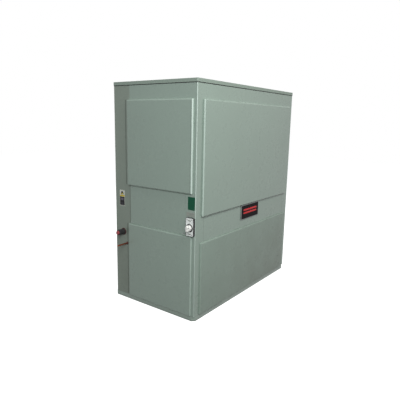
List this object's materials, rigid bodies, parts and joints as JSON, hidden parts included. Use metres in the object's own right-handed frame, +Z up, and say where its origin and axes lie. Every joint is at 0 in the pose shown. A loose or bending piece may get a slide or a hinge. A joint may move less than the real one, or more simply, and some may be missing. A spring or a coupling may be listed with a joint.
{
  "type": "air handler",
  "caption": "Floor-standing air handler in a sheet steel cabinet, with lift-off panels, coil, filters, belt-driven blowers, switch and pipe stubs.",
  "frame": {"origin": "middle of the base, on the floor plane", "axes": "+Z up; -Y is the front, the wide face with the nameplate; -X is the left end with the switch and the pipe stubs"},
  "size_m": [1.647, 0.864, 1.778],
  "materials": {
    "enamel": "semi-gloss grey-green enamel",
    "enamel_cap": "semi-gloss grey-green enamel",
    "base_paint": "grey-green paint, worn",
    "galvanised": "galvanised sheet",
    "filter_card": "pleated media in a card frame",
    "fins": "bright fin edges",
    "copper": "dull copper tube",
    "foam": "closed cell foam",
    "rubber": "dull rubber",
    "shaft_steel": "ground steel",
    "cast": "painted casting",
    "belt_rubber": "rubber and cloth",
    "motor_paint": "painted shell",
    "black_plastic": "moulded",
    "pale_plastic": "moulded",
    "plate_face": "black with red parts",
    "label_face": "printed film",
    "label_green": "printed film"
  },
  "bodies": {
    "cabinet": {"base_frame": "base_paint", "floor_pan": "galvanised", "post_front_left": "enamel", "post_front_right": "enamel", "post_rear_left": "enamel", "post_rear_right": "enamel", "top_cap": "enamel_cap", "top_rails": "enamel", "front_mid_band": "enamel", "back_mid_rail": "enamel", "left_mid_rails": "enamel", "right_mid_band": "enamel", "back_upper_panel": "enamel", "return_frame": "enamel", "filter_rack": "galvanised", "drain_pan": "galvanised", "coil_fins": "fins", "coil_plates": "galvanised", "coil_bends": "copper", "suction_pipe": "copper", "liquid_pipe": "copper", "suction_sleeve": "foam", "pipe_grommets": "rubber", "blower_housing_left": "galvanised", "blower_housing_right": "galvanised", "bearings": "cast", "bearing_stands": "galvanised", "fan_frame": "galvanised", "belt": "belt_rubber", "motor_rails": "galvanised", "control_box": "galvanised", "contactor": "black_plastic", "transformer": "cast", "terminal_block": "pale_plastic", "switch_base": "black_plastic", "switch_plate": "pale_plastic", "nameplate": "plate_face", "service_label": "label_face", "side_labels": "label_green"},
    "front_upper": {"front_upper_panel": "enamel"},
    "front_lower": {"front_lower_panel": "enamel"},
    "left_upper": {"left_upper_panel": "enamel"},
    "left_lower": {"left_lower_panel": "enamel"},
    "right_upper": {"right_upper_panel": "enamel"},
    "right_lower": {"right_lower_panel": "enamel"},
    "cover": {"control_cover": "enamel"},
    "door": {"filter_door": "enamel"},
    "filter_a": {"filter_left": "filter_card"},
    "filter_b": {"filter_middle": "filter_card"},
    "filter_c": {"filter_right": "filter_card"},
    "knob": {"switch_knob": "pale_plastic"},
    "fan": {"fan_shaft": "shaft_steel", "fan_wheel_left": "galvanised", "fan_wheel_right": "galvanised", "fan_pulley": "cast"},
    "motor_carriage": {"motor_base": "galvanised", "motor": "motor_paint"},
    "rotor": {"motor_shaft": "shaft_steel", "motor_pulley": "cast"},
    "plunger": {"contactor_plunger": "pale_plastic"}
  },
  "joints": [
    {"name": "front_upper_off", "type": "slide", "parent": "cabinet", "child": "front_upper", "axis": [0, -1, 0], "range_m": [0, 0.35]},
    {"name": "front_lower_off", "type": "slide", "parent": "cabinet", "child": "front_lower", "axis": [0, -1, 0], "range_m": [0, 0.35]},
    {"name": "left_upper_off", "type": "slide", "parent": "cabinet", "child": "left_upper", "axis": [-1, 0, 0], "range_m": [0, 0.35]},
    {"name": "left_lower_off", "type": "slide", "parent": "cabinet", "child": "left_lower", "axis": [-1, 0, 0], "range_m": [0, 0.35]},
    {"name": "right_upper_off", "type": "slide", "parent": "cabinet", "child": "right_upper", "axis": [1, 0, 0], "range_m": [0, 0.35]},
    {"name": "right_lower_off", "type": "slide", "parent": "cabinet", "child": "right_lower", "axis": [1, 0, 0], "range_m": [0, 0.35]},
    {"name": "cover_off", "type": "slide", "parent": "cabinet", "child": "cover", "axis": [-1, 0, 0], "range_m": [0, 0.3]},
    {"name": "door_off", "type": "slide", "parent": "cabinet", "child": "door", "axis": [1, 0, 0], "range_m": [0, 0.6]},
    {"name": "filter_a_out", "type": "slide", "parent": "cabinet", "child": "filter_a", "axis": [1, 0, 0], "range_m": [0, 0.18]},
    {"name": "filter_b_out", "type": "slide", "parent": "cabinet", "child": "filter_b", "axis": [1, 0, 0], "range_m": [0, 0.36]},
    {"name": "filter_c_out", "type": "slide", "parent": "cabinet", "child": "filter_c", "axis": [1, 0, 0], "range_m": [0, 0.54]},
    {"name": "switch_turn", "type": "hinge", "parent": "cabinet", "child": "knob", "pos_m": [-0.78, -0.37, 0.718], "axis": [-1, 0, 0], "range_deg": [0, 90]},
    {"name": "fan_spin", "type": "hinge", "parent": "cabinet", "child": "fan", "pos_m": [0, 0.04, 1.44], "axis": [1, 0, 0], "continuous": true},
    {"name": "motor_slide", "type": "slide", "parent": "cabinet", "child": "motor_carriage", "axis": [0, 1, 0], "range_m": [0, 0.025], "deforming": ["belt"]},
    {"name": "motor_spin", "type": "hinge", "parent": "motor_carriage", "child": "rotor", "pos_m": [-0.632, -0.2, 1.0823], "axis": [1, 0, 0], "continuous": true},
    {"name": "plunger_press", "type": "slide", "parent": "cabinet", "child": "plunger", "axis": [1, 0, 0], "range_m": [0, 0.003], "stiffness_N_per_m": 500}
  ],
  "couplings": [
    {"joint": "filter_a_out", "follows": "door_off", "ratio": 0.3},
    {"joint": "filter_b_out", "follows": "door_off", "ratio": 0.6},
    {"joint": "filter_c_out", "follows": "door_off", "ratio": 0.9},
    {"joint": "motor_spin", "follows": "fan_spin", "ratio": 2.1154}
  ]
}
